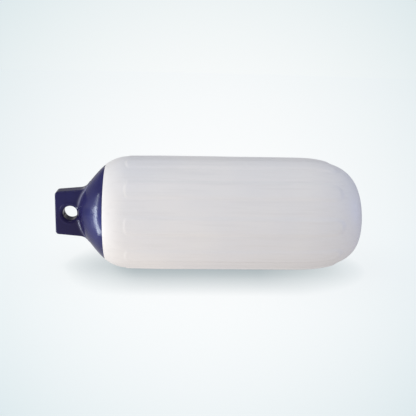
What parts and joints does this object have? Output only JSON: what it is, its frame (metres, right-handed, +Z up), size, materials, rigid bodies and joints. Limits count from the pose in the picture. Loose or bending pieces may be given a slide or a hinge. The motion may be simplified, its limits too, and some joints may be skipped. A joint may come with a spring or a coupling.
{
  "type": "boat fender",
  "caption": "Ribbed inflatable vinyl boat fender, a white barrel with a navy moulded rope eye at one end, lying on its side; it hangs by a rope between a hull and a dock.",
  "frame": {"origin": "centre of the fender's footprint, on the surface it lies on, with the barrel's axis 99.8 mm above it", "axes": "+X along the barrel from the rope eye to the far end, +Z up, the eye's bore along Y"},
  "size_m": [0.5422, 0.203, 0.1996],
  "materials": {
    "white_vinyl": "satin moulded vinyl",
    "navy_vinyl": "glossy moulded vinyl",
    "black_rubber": "matt rubber"
  },
  "bodies": {
    "root": {"fender_body": "white_vinyl", "eye_end": "navy_vinyl", "needle_valve": "black_rubber"}
  },
  "joints": []
}
